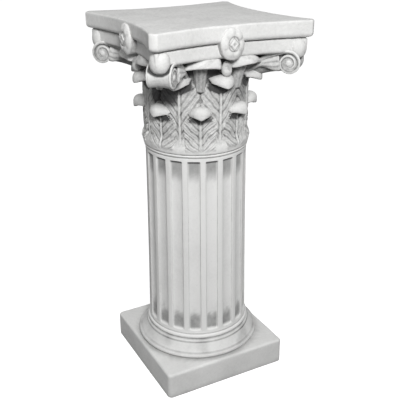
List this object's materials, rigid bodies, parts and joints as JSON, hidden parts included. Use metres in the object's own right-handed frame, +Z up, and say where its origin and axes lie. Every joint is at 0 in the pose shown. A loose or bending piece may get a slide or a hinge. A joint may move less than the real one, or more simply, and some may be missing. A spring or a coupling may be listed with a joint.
{
  "type": "stone column",
  "caption": "Short cast-stone pedestal column with a square base, a fluted shaft and an acanthus-leaf capital under a hollow-sided slab.",
  "frame": {"origin": "middle of the plinth's underside, on the floor", "axes": "+Z up along the shaft; X and Y square to the sides of the plinth and of the slab, with the pictured side facing -Y and -X"},
  "size_m": [0.333, 0.333, 0.76],
  "materials": {
    "base_stone": "matt cast stone, pale grey-white",
    "shaft_stone": "matt cast stone, pale grey-white, greyer in the ends of the flutes",
    "capital_stone": "matt cast stone, pale grey-white, greyer in the recesses of the carving"
  },
  "bodies": {
    "root": {"base": "base_stone", "shaft": "shaft_stone", "capital": "capital_stone"}
  },
  "joints": []
}
